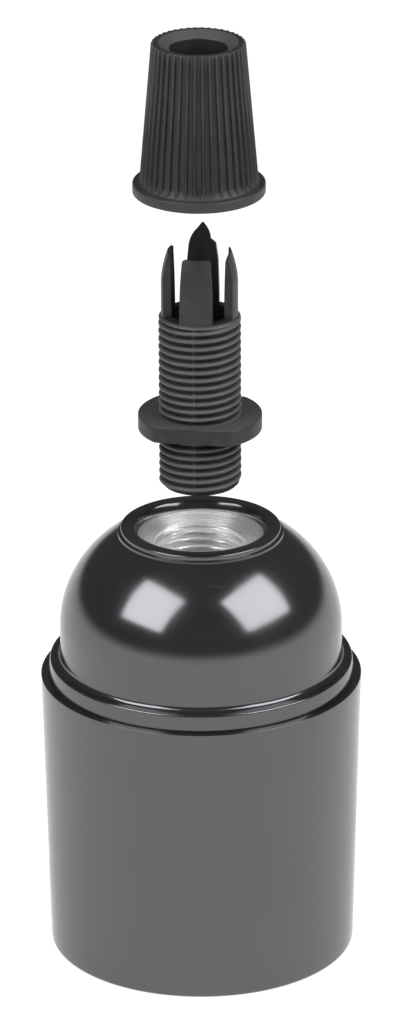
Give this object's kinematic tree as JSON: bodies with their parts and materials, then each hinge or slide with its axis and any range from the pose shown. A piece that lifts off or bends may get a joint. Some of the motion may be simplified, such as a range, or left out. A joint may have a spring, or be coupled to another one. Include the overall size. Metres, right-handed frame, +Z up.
{
  "type": "lamp holder",
  "caption": "Screw lamp holder with a plain skirt, domed cap and metal bush, laid out with its cord grip nipple and fluted cap lifted off above it on one axis.",
  "frame": {"origin": "centre of the skirt's open rim, which the holder stands on", "axes": "+Z up along the common axis towards the cable outlet, -Y is the side seen in the picture, +X to the right as seen from there"},
  "size_m": [0.0388, 0.0388, 0.1158],
  "materials": {
    "black_phenolic": "polished black phenolic moulding with a faint flow texture",
    "black_nylon": "matte black nylon moulding",
    "bright_bush": "bright turned metal with fine tool rings",
    "white_ceramic": "off-white steatite, half matt",
    "spring_bronze": "rolled spring bronze",
    "terminal_brass": "plain pressed and turned brass",
    "plated_steel": "zinc plated steel"
  },
  "bodies": {
    "skirt": {"skirt": "black_phenolic", "contact_block": "white_ceramic", "centre_contact_rivet": "terminal_brass", "side_rivet_front": "terminal_brass", "side_rivet_back": "terminal_brass", "neutral_rivet": "terminal_brass", "neutral_bridge": "terminal_brass", "live_terminal": "terminal_brass", "neutral_terminal": "terminal_brass", "live_clamp_plate": "plated_steel", "neutral_clamp_plate": "plated_steel"},
    "centre_contact": {"centre_contact": "spring_bronze"},
    "side_contact_front": {"side_contact_front": "spring_bronze"},
    "side_contact_back": {"side_contact_back": "spring_bronze"},
    "live_screw": {"live_screw": "plated_steel"},
    "neutral_screw": {"neutral_screw": "plated_steel"},
    "dome": {"dome_cap": "black_phenolic", "top_bush": "bright_bush"},
    "nipple": {"cord_grip_nipple": "black_nylon"},
    "grip_cap": {"cord_grip_cap": "black_nylon"}
  },
  "joints": [
    {"name": "dome_unscrew", "type": "slide", "parent": "skirt", "child": "dome", "axis": [0, 0, 1], "range_m": [0, 0.028]},
    {"name": "nipple_unscrew", "type": "slide", "parent": "dome", "child": "nipple", "axis": [0, 0, 1], "range_m": [-0.0137, 0]},
    {"name": "grip_cap_unscrew", "type": "slide", "parent": "nipple", "child": "grip_cap", "axis": [0, 0, 1], "range_m": [-0.0204, 0]},
    {"name": "centre_contact_press", "type": "hinge", "parent": "skirt", "child": "centre_contact", "pos_m": [0.0114, 0, 0.0255], "axis": [0, 1, 0], "range_deg": [0, 7], "stiffness_Nm_per_rad": 0.28},
    {"name": "side_contact_front_press", "type": "hinge", "parent": "skirt", "child": "side_contact_front", "pos_m": [0, -0.0068, 0.0255], "axis": [-1, 0, 0], "range_deg": [0, 9], "stiffness_Nm_per_rad": 0.25},
    {"name": "side_contact_back_press", "type": "hinge", "parent": "skirt", "child": "side_contact_back", "pos_m": [0, 0.0068, 0.0255], "axis": [1, 0, 0], "range_deg": [0, 9], "stiffness_Nm_per_rad": 0.25},
    {"name": "live_screw_turn", "type": "slide", "parent": "skirt", "child": "live_screw", "axis": [0, 0, 1], "range_m": [0, 0.0015]},
    {"name": "neutral_screw_turn", "type": "slide", "parent": "skirt", "child": "neutral_screw", "axis": [0, 0, 1], "range_m": [0, 0.0015]}
  ]
}
